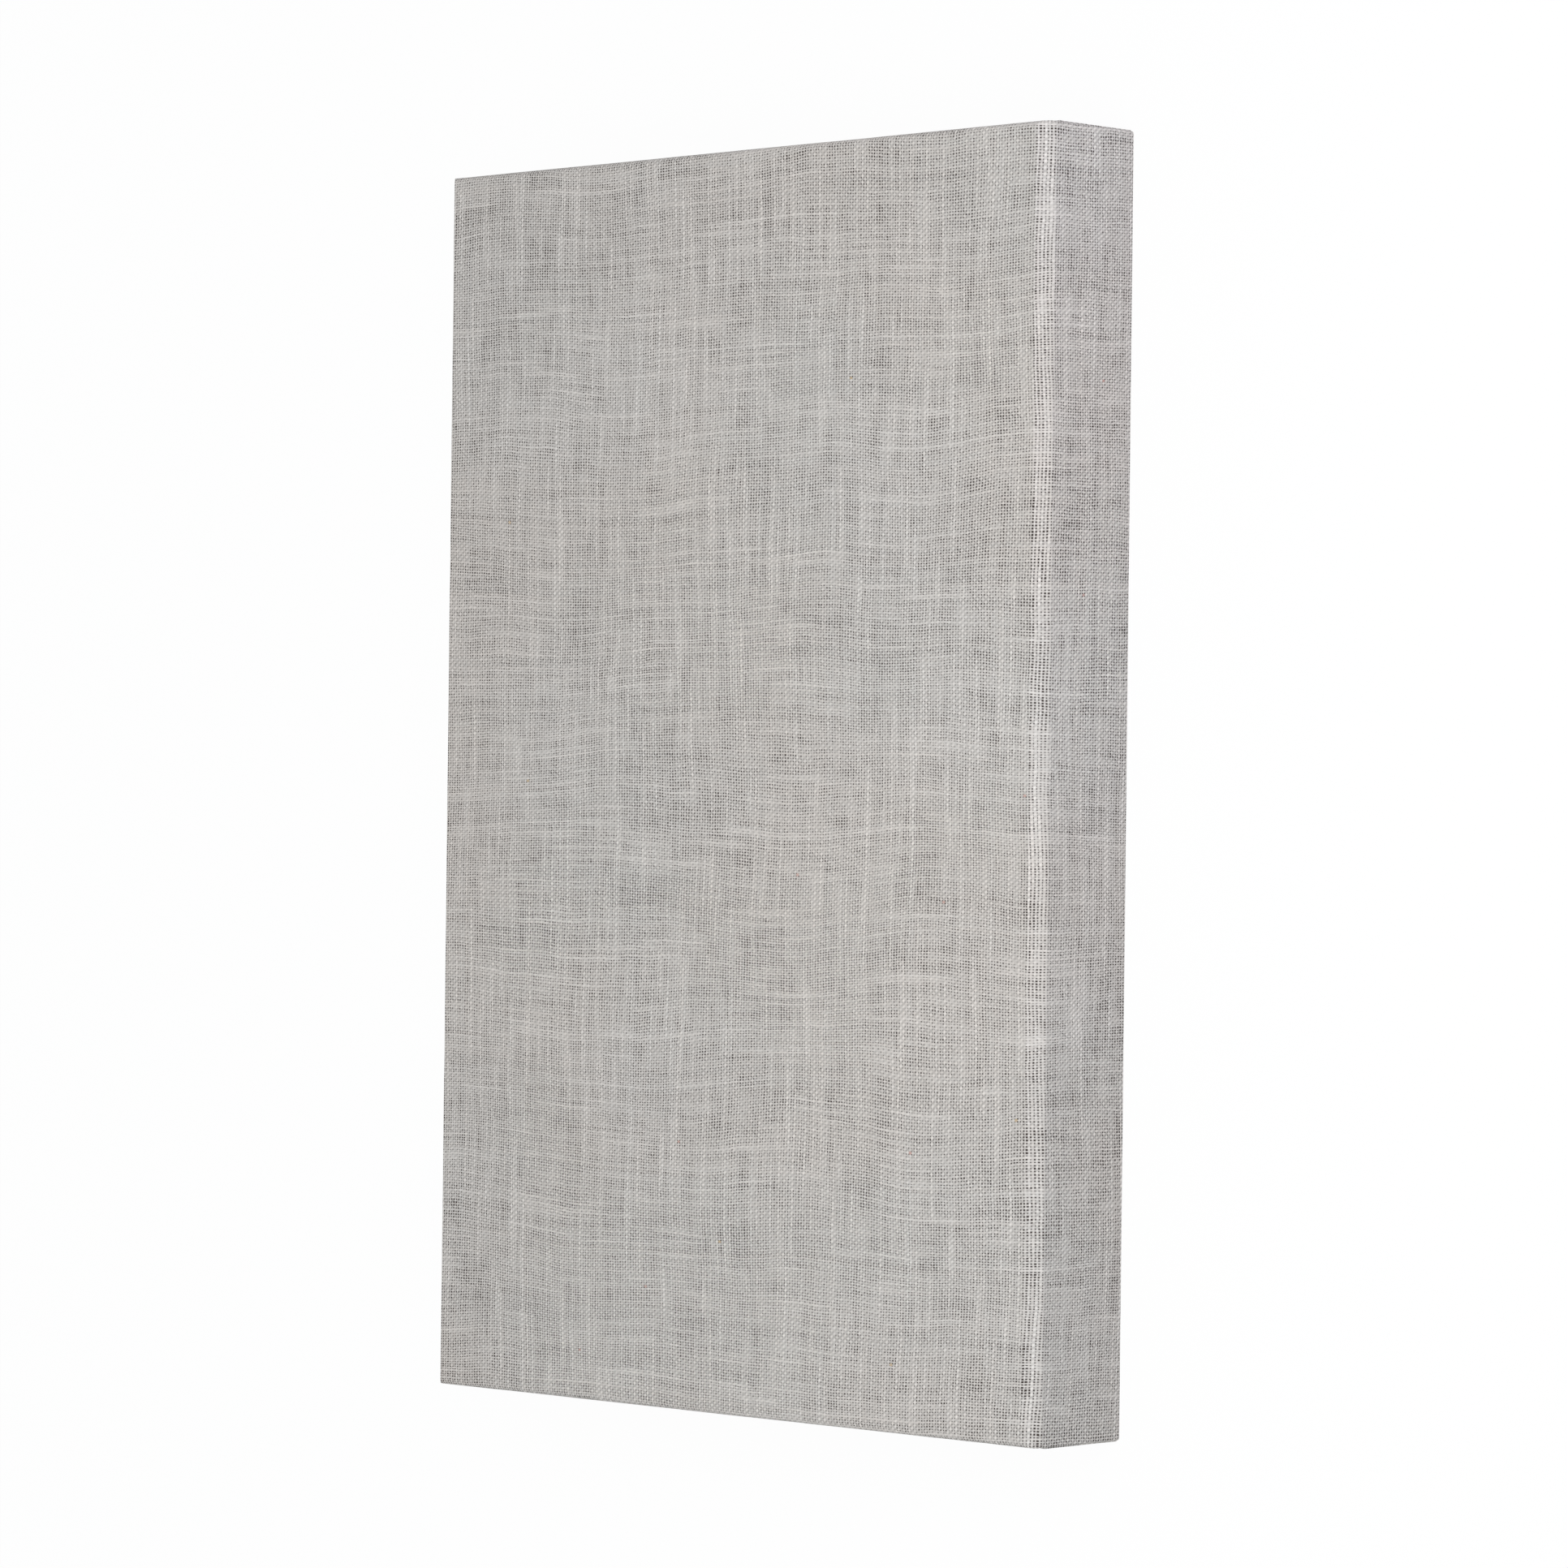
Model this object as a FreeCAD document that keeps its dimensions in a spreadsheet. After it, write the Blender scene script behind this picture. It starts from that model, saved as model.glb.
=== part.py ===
"""Fabric acoustic wall panel: a rigid fibre board wrapped in open-weave cloth.

The panel lies on its back on a level floor. The origin is at the middle of the back, +Z is
the depth and points out of the cloth face, +Y runs along the long sides and +X along the
short ones. All lengths are in millimetres.

The cloth is one piece. It covers the face and the four sides, turns over the back's edges and
is glued to the back of the board in a strip all round, mitred at its corners. The cloth that
is left over at each corner is folded under on the short side there. The fold has three
layers, and the soft board gives way to them.
"""
import FreeCAD, Part
import os
import Sketcher

SHEET_NAME = "Sizes"
PARTS_FOLDER = "parts"

# Driving dimensions: alias, value in millimetres, what it is
SIZES = (
    ("panel_width", 609.6, "overall, along X"),
    ("panel_length", 914.4, "along Y, without the small rise of the corner folds"),
    ("panel_depth", 92.1, "overall, along Z"),
    ("cloth_thickness", 1.0, "one layer of the cloth"),
    ("long_edge_bevel", 9.5, "leg of the bevel between the face and a long side, over the cloth"),
    ("bevel_round", 2.0, "rounding of that bevel's borders, over the cloth"),
    ("short_edge_radius", 5.0, "where the face meets a short side, over the cloth"),
    ("corner_radius", 1.5, "where a long side meets a short one, over the cloth"),
    ("back_edge_radius", 1.5, "where the back meets the sides, over the cloth"),
    ("strip_width", 50.0, "cloth glued to the back, from the side inwards"),
    ("mitre_gap", 1.2, "between two glued strips at their mitre"),
    ("mitre_end", 8.0, "from the side to the end of the mitre"),
    ("fold_inset", 2.0, "from the corner's rounding to the edge of the fold"),
    ("fold_rise", 0.6, "how far a fold stands out from the short side"),
    ("fold_press", 1.4, "how far a fold presses into the board"),
    ("fold_mouth", 1.2, "width of the slit beside the fold's edge"),
    ("mouth_depth", 0.9, "depth of that slit below the short side"),
    ("fold_round", 0.5, "rounding of a fold's slanted ridge, and bevel of its lip"),
)


def size(alias):
    """Return the expression that reads one driving dimension."""
    return f"<<{SHEET_NAME}>>.{alias}"


# Expressions that several features share
HALF_WIDTH = f"({size('panel_width')} / 2)"
HALF_LENGTH = f"({size('panel_length')} / 2)"
FOLD_EDGE = f"({HALF_WIDTH} - {size('corner_radius')} - {size('fold_inset')})"
FOLD_SIDE = f"({FOLD_EDGE} + {size('fold_mouth')})"
FOLD_TOP = f"({size('panel_depth')} - {size('long_edge_bevel')} - {size('bevel_round')})"
FOLD_BOTTOM = size("back_edge_radius")


def make_sheet(doc):
    """Write the driving dimensions into a spreadsheet and name their cells."""
    sheet = doc.addObject("Spreadsheet::Sheet", SHEET_NAME)
    for row, (alias, value, meaning) in enumerate(SIZES, start=1):
        sheet.set(f"A{row}", alias)
        sheet.set(f"B{row}", str(value))
        sheet.set(f"C{row}", meaning)
        sheet.setAlias(f"B{row}", alias)
    doc.recompute()


def origin_plane(body, role):
    """Return one of a body's own origin planes."""
    return next(feature for feature in body.Origin.OriginFeatures if feature.Role == role)


def add_polygon(sketch, corners):
    """Draw a closed polygon whose corners are pairs of expressions, from the sketch's origin."""
    places = [FreeCAD.Vector(*(float(sketch.evalExpression(text)) for text in corner))
              for corner in corners]
    first = sketch.GeometryCount
    count = len(places)
    for index, place in enumerate(places):
        sketch.addGeometry(Part.LineSegment(place, places[(index + 1) % count]), False)
    for index in range(count):
        after = first + (index + 1) % count
        sketch.addConstraint(Sketcher.Constraint("Coincident", first + index, 2, after, 1))
        for kind, number, text in zip(("DistanceX", "DistanceY"), places[index], corners[index]):
            rule = Sketcher.Constraint(kind, -1, 1, first + index, 1, number)
            sketch.setExpression(f"Constraints[{sketch.addConstraint(rule)}]", text)


def pad_polygons(doc, name, role, polygons, start, length, symmetric=False):
    """Pad closed polygons on an origin plane, from a start along the plane's normal."""
    body = doc.addObject("PartDesign::Body", name)
    body.AllowCompound = True
    sketch = body.newObject("Sketcher::SketchObject", f"{name}Sketch")
    sketch.AttachmentSupport = [(origin_plane(body, role), "")]
    sketch.MapMode = "FlatFace"
    sketch.setExpression("AttachmentOffset.Base.z", start)
    for corners in polygons:
        add_polygon(sketch, corners)
    pad = body.newObject("PartDesign::Pad", f"{name}Pad")
    pad.Profile = sketch
    pad.Midplane = symmetric
    pad.setExpression("Length", length)
    doc.recompute()
    return body


def rectangle(low_x, low_y, high_x, high_y):
    """Return the corners of a rectangle, as pairs of expressions."""
    return [(low_x, low_y), (high_x, low_y), (high_x, high_y), (low_x, high_y)]


def dress_edges(body, kind, name, length, wanted):
    """Round or bevel the straight edges of a body's tip that a test picks out."""
    tip = body.Tip
    edges = [f"Edge{number}" for number, edge in enumerate(tip.Shape.Edges, start=1)
             if len(edge.Vertexes) == 2 and wanted(edge)]
    feature = body.newObject(f"PartDesign::{kind}", f"{body.Name}{name}")
    feature.Base = (tip, edges)
    feature.setExpression({"Fillet": "Radius", "Chamfer": "Size"}[kind], length)
    body.Document.recompute()


def runs_along(edge, axis):
    """Tell whether a straight edge runs along an axis."""
    along = edge.Vertexes[1].Point - edge.Vertexes[0].Point
    return abs(abs(along.normalize().dot(axis)) - 1) < 1e-6


def is_slanted(edge):
    """Tell whether a straight edge runs along no axis."""
    axes = (FreeCAD.Vector(1, 0, 0), FreeCAD.Vector(0, 1, 0), FreeCAD.Vector(0, 0, 1))
    return not any(runs_along(edge, axis) for axis in axes)


def edges_along(prism, axis, upper):
    """Return a test for the upper or the lower edges of a prism that run along an axis."""
    middle = prism.Shape.BoundBox.Center.z
    return lambda edge: runs_along(edge, axis) and (edge.CenterOfMass.z > middle) == upper


def make_block(doc, name, inset):
    """Make the panel's block, smaller all round by an expression.

    It is what three prisms share: the outline seen from the face, and the sections across
    the long and the short sides. The face is bevelled along its long sides and rounded along
    its short ones, and both meet in mitres at the corners, as they do where cloth is pulled
    over them.
    """
    half_x = f"({HALF_WIDTH} - {inset})"
    half_y = f"({HALF_LENGTH} - {inset})"
    low_z = f"({inset})"
    high_z = f"({size('panel_depth')} - {inset})"
    along_x = FreeCAD.Vector(1, 0, 0)
    along_y = FreeCAD.Vector(0, 1, 0)
    along_z = FreeCAD.Vector(0, 0, 1)

    outline = pad_polygons(doc, f"{name}Outline", "XY_Plane",
                           [rectangle(f"-{half_x}", f"-{half_y}", half_x, half_y)],
                           low_z, f"{high_z} - {low_z}")
    dress_edges(outline, "Fillet", "Corners", f"{size('corner_radius')} - {inset}",
                lambda edge: runs_along(edge, along_z))

    across_long = pad_polygons(doc, f"{name}LongSides", "XZ_Plane",
                               [rectangle(f"-{half_x}", low_z, half_x, high_z)],
                               "0", f"2 * {half_y}", symmetric=True)
    across_short = pad_polygons(doc, f"{name}ShortSides", "YZ_Plane",
                                [rectangle(f"-{half_y}", low_z, half_y, high_z)],
                                "0", f"2 * {half_x}", symmetric=True)
    dress_edges(across_long, "Chamfer", "Bevel",
                f"{size('long_edge_bevel')} - {inset} * (2 - sqrt(2))",
                edges_along(across_long, along_y, upper=True))
    dress_edges(across_long, "Fillet", "Borders", f"{size('bevel_round')} - {inset}",
                edges_along(across_long, along_y, upper=True))
    dress_edges(across_short, "Fillet", "Face", f"{size('short_edge_radius')} - {inset}",
                edges_along(across_short, along_x, upper=True))
    for prism, along in ((across_long, along_y), (across_short, along_x)):
        dress_edges(prism, "Fillet", "Back", f"{size('back_edge_radius')} - {inset}",
                    edges_along(prism, along, upper=False))

    block = doc.addObject("Part::MultiCommon", name)
    block.Shapes = [outline, across_long, across_short]
    return block


def at_both_ends(doc, name, polygons, depth, rise):
    """Pad polygons into both short sides, from a depth below them to a rise above them."""
    length = f"{depth} + {rise}"
    far_end = pad_polygons(doc, f"{name}Far", "XZ_Plane", polygons,
                           f"-({HALF_LENGTH} + {rise})", length)
    near_end = pad_polygons(doc, f"{name}Near", "XZ_Plane", polygons,
                            f"{HALF_LENGTH} - ({depth})", length)
    return [far_end, near_end]


def mirrored(corners):
    """Return a polygon mirrored left to right."""
    return [(f"-{x}", y) for x, y in corners]


def make_folds(doc):
    """Make the folded layers at the four corners, as triangles on the short sides."""
    fold_point = f"({FOLD_SIDE} - ({FOLD_TOP} - {FOLD_BOTTOM}))"
    triangle = [(FOLD_SIDE, FOLD_BOTTOM), (FOLD_SIDE, FOLD_TOP), (fold_point, FOLD_BOTTOM)]
    depth = f"({size('cloth_thickness')} + {size('fold_press')})"
    folds = at_both_ends(doc, "Folds", [triangle, mirrored(triangle)], depth, size("fold_rise"))
    for fold in folds:
        box = fold.Shape.BoundBox
        outer = box.YMax if box.Center.y > 0 else box.YMin
        dress_edges(fold, "Fillet", "Ridge", size("fold_round"),
                    lambda edge: abs(edge.CenterOfMass.y - outer) < 1e-6 and is_slanted(edge))
    return folds


def make_fold_mouths(doc):
    """Make the cutters for the slit beside each fold's edge."""
    mouth = rectangle(FOLD_EDGE, FOLD_BOTTOM, FOLD_SIDE, FOLD_TOP)
    return at_both_ends(doc, "FoldMouths", [mouth, mirrored(mouth)],
                        size("mouth_depth"), size("fold_rise"))


def make_lip_cutters(doc):
    """Make the cutters that bevel the lip of each fold, beside its slit."""
    outer = f"({HALF_LENGTH} + {size('fold_rise')})"
    inner_x = f"({FOLD_EDGE} - {size('fold_round')})"
    inner_y = f"({outer} - {size('fold_round')})"
    bevel = [(inner_x, outer), (FOLD_EDGE, inner_y), (FOLD_EDGE, outer)]
    below = [(x, f"-{y}") for x, y in bevel]
    return pad_polygons(doc, "FoldLips", "XY_Plane",
                        [bevel, mirrored(bevel), below, mirrored(below)],
                        FOLD_BOTTOM, f"{FOLD_TOP} - {FOLD_BOTTOM}")


def make_back_cutters(doc):
    """Make the cutters for the bare middle of the back and for the four mitres."""
    inner_x = f"({HALF_WIDTH} - {size('strip_width')})"
    inner_y = f"({HALF_LENGTH} - {size('strip_width')})"
    outer_x = f"({HALF_WIDTH} - {size('mitre_end')})"
    outer_y = f"({HALF_LENGTH} - {size('mitre_end')})"
    slant = f"({size('mitre_gap')} / sqrt(2))"
    window = pad_polygons(doc, "BareBack", "XY_Plane",
                          [rectangle(f"-{inner_x}", f"-{inner_y}", inner_x, inner_y)],
                          "0", size("cloth_thickness"))
    mitre = [(inner_x, f"({inner_y} - {slant})"), (outer_x, f"({outer_y} - {slant})"),
             (f"({outer_x} - {slant})", outer_y), (f"({inner_x} - {slant})", inner_y)]
    below = [(x, f"-{y}") for x, y in mitre]
    mitres = pad_polygons(doc, "Mitres", "XY_Plane",
                          [mitre, mirrored(mitre), below, mirrored(below)],
                          "0", size("cloth_thickness"))
    return [window, mitres]


def make_core_board(doc, folds):
    """Make the fibre board: the block inside the cloth, pressed in where the folds lie."""
    block = make_block(doc, "BoardBlock", size("cloth_thickness"))
    pressed = doc.addObject("Part::MultiFuse", "PressedPlaces")
    pressed.Shapes = folds
    board = doc.addObject("Part::Cut", "CoreBoard")
    board.Base = block
    board.Tool = pressed
    board.Label = "core_board"
    return board


def make_fabric_cover(doc, folds, board):
    """Make the cloth: the block over the board, with its folds, less the board and the cuts."""
    wrapped = doc.addObject("Part::MultiFuse", "WrappedBlock")
    wrapped.Shapes = [make_block(doc, "ClothBlock", "0"), *folds]
    removed = doc.addObject("Part::Compound", "NotCloth")
    removed.Links = [*make_back_cutters(doc), *make_fold_mouths(doc), make_lip_cutters(doc)]
    shell = doc.addObject("Part::Cut", "Shell")
    shell.Base = wrapped
    shell.Tool = board
    cover = doc.addObject("Part::Cut", "FabricCover")
    cover.Base = shell
    cover.Tool = removed
    cover.Label = "fabric_cover"
    return cover


def check(doc, sub_parts):
    """Stop if an object failed to build or a sub-part isn't one valid solid."""
    failed = [item.Name for item in doc.Objects if {"Invalid", "Error"} & set(item.State)]
    if failed:
        raise RuntimeError(f"failed objects: {failed}")
    for sub_part in sub_parts:
        shape = sub_part.Shape
        if shape.isNull() or not shape.isValid() or len(shape.Solids) != 1:
            raise RuntimeError(f"{sub_part.Label} is not one valid solid")


def main():
    """Build the panel and write one STEP file for each sub-part."""
    doc = FreeCAD.newDocument("FabricAcousticPanel")
    make_sheet(doc)
    folds = make_folds(doc)
    board = make_core_board(doc, folds)
    cover = make_fabric_cover(doc, folds, board)
    doc.recompute()
    sub_parts = (board, cover)
    check(doc, sub_parts)
    os.makedirs(PARTS_FOLDER, exist_ok=True)
    for sub_part in sub_parts:
        sub_part.Shape.exportStep(f"{PARTS_FOLDER}/{sub_part.Label}.step")
        box = sub_part.Shape.BoundBox
        print(f"{sub_part.Label}: {sub_part.Shape.Volume / 1000:.1f} cm3, "
              f"{box.XLength:.1f} x {box.YLength:.1f} x {box.ZLength:.1f} mm")


main()
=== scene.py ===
"""Looks of a fabric acoustic wall panel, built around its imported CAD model.

The panel lies on its back on a pale studio floor. One sheet of open-weave cloth is pulled over
a dark fibre board, folded at the corners and glued down round the back. Every length in a
field is in millimetres, and every mesh is in metres, in the frame of the CAD model.
"""
import logging
import math
from dataclasses import dataclass, field
from enum import Enum

import bmesh
import bpy
import numpy as np
from mathutils import Matrix, Vector, noise


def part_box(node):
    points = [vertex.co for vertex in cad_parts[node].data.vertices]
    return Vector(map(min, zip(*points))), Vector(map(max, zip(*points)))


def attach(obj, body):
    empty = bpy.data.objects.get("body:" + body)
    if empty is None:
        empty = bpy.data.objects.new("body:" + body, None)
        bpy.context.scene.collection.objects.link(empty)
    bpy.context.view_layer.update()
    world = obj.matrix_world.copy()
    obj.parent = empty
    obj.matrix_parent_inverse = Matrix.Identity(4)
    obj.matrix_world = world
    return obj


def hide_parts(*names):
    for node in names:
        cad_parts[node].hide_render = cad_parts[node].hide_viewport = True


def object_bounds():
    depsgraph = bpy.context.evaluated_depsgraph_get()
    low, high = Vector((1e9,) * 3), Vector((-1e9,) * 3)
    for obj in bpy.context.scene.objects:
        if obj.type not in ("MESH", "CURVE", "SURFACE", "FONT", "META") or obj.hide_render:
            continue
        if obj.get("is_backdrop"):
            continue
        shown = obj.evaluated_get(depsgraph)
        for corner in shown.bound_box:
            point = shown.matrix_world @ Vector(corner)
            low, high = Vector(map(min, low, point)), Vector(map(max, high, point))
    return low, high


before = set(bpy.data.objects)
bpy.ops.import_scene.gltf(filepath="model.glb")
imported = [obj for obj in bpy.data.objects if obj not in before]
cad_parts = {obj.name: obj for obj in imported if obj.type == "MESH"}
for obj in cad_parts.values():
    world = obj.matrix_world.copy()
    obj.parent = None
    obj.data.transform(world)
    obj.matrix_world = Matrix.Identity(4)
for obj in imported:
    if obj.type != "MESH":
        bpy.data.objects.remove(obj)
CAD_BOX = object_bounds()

LOG = logging.getLogger("acoustic_panel")
MM = 0.001
UV_NAME = "cloth_lay"


class Region(Enum):
    """The stretches of cloth below the face, each with its own way to lay out its threads."""

    LONG_SIDE = "long side"
    SHORT_SIDE = "short side"


def linear(hex_colour: str) -> tuple[float, float, float, float]:
    """Turn an sRGB hex colour into linear values.

    Args:
        hex_colour: six hex digits.

    Returns:
        Red, green, blue and an alpha of 1, linear.
    """
    parts = [int(hex_colour[at:at + 2], 16) / 255 for at in (0, 2, 4)]
    bent = [part / 12.92 if part <= 0.04045 else ((part + 0.055) / 1.055) ** 2.4 for part in parts]
    return (*bent, 1.0)


def add_node(tree: bpy.types.NodeTree, kind: str, inputs: dict | None = None,
             **settings: object) -> bpy.types.Node:
    """Add one shader node with its settings and links.

    Args:
        tree: the material's node tree.
        kind: the node's type name, without the leading ShaderNode.
        inputs: socket name or number to a value, or to a level or output socket to link from.
        settings: the node's own properties.

    Returns:
        The new node.
    """
    node = tree.nodes.new(f"ShaderNode{kind}")
    for name, value in settings.items():
        setattr(node, name, value)
    for name, value in (inputs or {}).items():
        source = value.socket if isinstance(value, Level) else value
        if isinstance(source, bpy.types.NodeSocket):
            tree.links.new(source, node.inputs[name])
        else:
            node.inputs[name].default_value = source
    return node


def bare_material(name: str) -> bpy.types.Material:
    """Make a material whose node tree is still empty.

    Args:
        name: the real material's name.

    Returns:
        The material.
    """
    material = bpy.data.materials.new(name)
    material.use_nodes = True
    material.node_tree.nodes.clear()
    return material


@dataclass(frozen=True)
class Level:
    """A number that changes over a surface, held by the socket that carries it.

    Arithmetic on levels adds the nodes that work it out, so that a pattern reads as its
    formula.
    """

    socket: bpy.types.NodeSocket

    @property
    def tree(self) -> bpy.types.NodeTree:
        """Return the node tree that the level is in."""
        return self.socket.id_data

    def worked(self, operation: str, *others: "Level | float") -> "Level":
        """Return what an operation gives on this level and the values that follow it."""
        values = dict(enumerate((self, *others)))
        return Level(add_node(self.tree, "Math", values, operation=operation).outputs[0])

    def __add__(self, other: "Level | float") -> "Level":
        """Return the sum."""
        return self.worked("ADD", other)

    def __sub__(self, other: "Level | float") -> "Level":
        """Return the difference."""
        return self.worked("SUBTRACT", other)

    def __mul__(self, other: "Level | float") -> "Level":
        """Return the product."""
        return self.worked("MULTIPLY", other)

    def __truediv__(self, other: "Level | float") -> "Level":
        """Return the quotient."""
        return self.worked("DIVIDE", other)

    def __abs__(self) -> "Level":
        """Return the level without its sign."""
        return self.worked("ABSOLUTE")

    def __floor__(self) -> "Level":
        """Return the whole number below."""
        return self.worked("FLOOR")

    def __round__(self) -> "Level":
        """Return the nearest whole number."""
        return self.worked("ROUND")

    def scaled(self, factor: float, offset: float) -> "Level":
        """Return the level times a factor, plus an offset."""
        return self.worked("MULTIPLY_ADD", factor, offset)

    def about(self, spread: float, middle: float = 0.0) -> "Level":
        """Spread a level of 0 to 1 evenly about a middle."""
        return self.scaled(spread, middle - spread / 2)

    def rest(self) -> "Level":
        """Return what the level lacks to 1."""
        return self.scaled(-1.0, 1.0)

    def fade(self, low: "Level | float", high: "Level | float") -> "Level":
        """Rise smoothly from 0 where the level is low to 1 where it is high."""
        values = {"Value": self, "From Min": low, "From Max": high}
        return Level(add_node(self.tree, "MapRange", values,
                              interpolation_type="SMOOTHSTEP").outputs[0])

    def dice(self, other: "Level | float") -> "Level":
        """Return a random value from 0 to 1 for this number and another as a pair."""
        pair = add_node(self.tree, "CombineXYZ", {"X": self, "Y": other}).outputs[0]
        return Level(add_node(self.tree, "TexWhiteNoise", {"Vector": pair},
                              noise_dimensions="2D").outputs["Value"])


@dataclass(frozen=True)
class Cloud:
    """Smooth random field over the cloth, in patches of one size.

    The seed moves it, so that two of them differ. Spread is how far its values reach about 0.
    Stretch is what its axes are multiplied by, and a detail above 0 adds finer layers.
    """

    size: float
    seed: float
    spread: float = 1.0
    detail: float = 1.0
    stretch: tuple[float, float, float] = (1.0, 1.0, 1.0)
    roughness: float = 0.55

    def node(self, place: bpy.types.NodeSocket) -> bpy.types.Node:
        """Lay the field over the cloth.

        Args:
            place: place on the cloth, in millimetres.

        Returns:
            The noise node, with outputs Fac and Color, which lie about 0.5.
        """
        away = (self.seed * self.size, -self.seed * self.size, 0)
        moved = add_node(place.id_data, "VectorMath", {0: place, 1: self.stretch, 2: away},
                         operation="MULTIPLY_ADD").outputs[0]
        inputs = {"Vector": moved, "Scale": 1 / self.size, "Detail": self.detail,
                  "Roughness": self.roughness}
        return add_node(place.id_data, "TexNoise", inputs, noise_dimensions="2D")

    def level(self, place: bpy.types.NodeSocket) -> Level:
        """Return the field as a level about 0."""
        return Level(self.node(place).outputs["Fac"]).about(self.spread)


@dataclass(frozen=True)
class Streak:
    """Random field that is a thread's or a gap's own and changes slowly along it.

    Length is how far it takes to change. The seed moves it, so that two of them differ, and
    the step is how far apart neighbours lie in the field.
    """

    length: float
    seed: float
    step: float = 7.31
    detail: float = 2.0
    roughness: float = 0.6

    def level(self, along: Level, number: Level | None = None) -> Level:
        """Lay the field along the threads.

        Args:
            along: place along them, in millimetres.
            number: which thread or gap, or None for one line by itself.

        Returns:
            A level about 0.5.
        """
        own = self.seed if number is None else number.scaled(self.step, self.seed)
        line = add_node(along.tree, "CombineXYZ", {"X": own, "Y": along / self.length}).outputs[0]
        inputs = {"Vector": line, "Scale": 1.0, "Detail": self.detail, "Roughness": self.roughness}
        return Level(add_node(along.tree, "TexNoise", inputs, noise_dimensions="2D").outputs["Fac"])


@dataclass(frozen=True)
class Pull:
    """Where the cloth is pulled over the long edges of the face, as levels from 0 to 1.

    Taut is 1 over the bevel. Crease follows the bevel's upper border in the stretches where the
    holes are pulled open. Pale is the share of the painted highlight over the bevel: it falls from
    1 at that border towards the lower one. Side is 1 past the bevel, on the long side.
    """

    taut: Level
    crease: Level
    pale: Level
    side: Level


@dataclass(frozen=True)
class EdgePull:
    """How the cloth is pulled over the bevels of the long edges.

    A pair says where a thing is 0 and where it is whole. Places across the bevel are shares of
    its width, from its middle.
    """

    taut_end: tuple[float, float] = (0.50, 0.42)
    side_start: tuple[float, float] = (0.50, 0.60)
    crease_place: float = 0.46
    crease_reach: tuple[float, float] = (2.4, 1.2)
    crease_stretches: Streak = Streak(length=60.0, seed=57.62)
    crease_levels: tuple[float, float] = (0.38, 0.56)
    # Share of the painted highlight that is left at the bevel's lower border
    lower_bevel_highlight: float = 0.5

    def find(self, place: bpy.types.NodeSocket, centre: float, width: float) -> Pull:
        """Find where the cloth is pulled.

        Args:
            place: place on the cloth, in millimetres.
            centre: distance across the cloth from its middle to the middle of a bevel.
            width: length of cloth over a bevel.

        Returns:
            The levels that tell where.
        """
        parts = add_node(place.id_data, "SeparateXYZ", {0: place})
        across = abs(Level(parts.outputs[0])) + -centre
        taut = abs(across).fade(*[share * width for share in self.taut_end])
        line = abs(across + width * self.crease_place).fade(*self.crease_reach)
        stretches = self.crease_stretches.level(Level(parts.outputs[1])).fade(*self.crease_levels)
        # The painted highlight over the bevel falls from its upper border to its lower one
        upper = across.scaled((self.lower_bevel_highlight - 1) / width, (self.lower_bevel_highlight + 1) / 2)
        side = across.fade(*[share * width for share in self.side_start])
        return Pull(taut, line * stretches, taut * upper, side)


@dataclass(frozen=True)
class Threads:
    """One set of threads, as levels: its mask, its tone and its height across each thread."""

    mask: Level
    tone: Level
    profile: Level


@dataclass(frozen=True)
class Yarn:
    """One of the two sets of threads in the cloth.

    Widths are shares of the spacing, because a thread's neighbours set how wide it looks.
    """

    spacing: float
    half_width: float
    tone_spread: float
    slub: Streak
    slub_level: float
    gap: Streak
    seed: float


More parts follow.
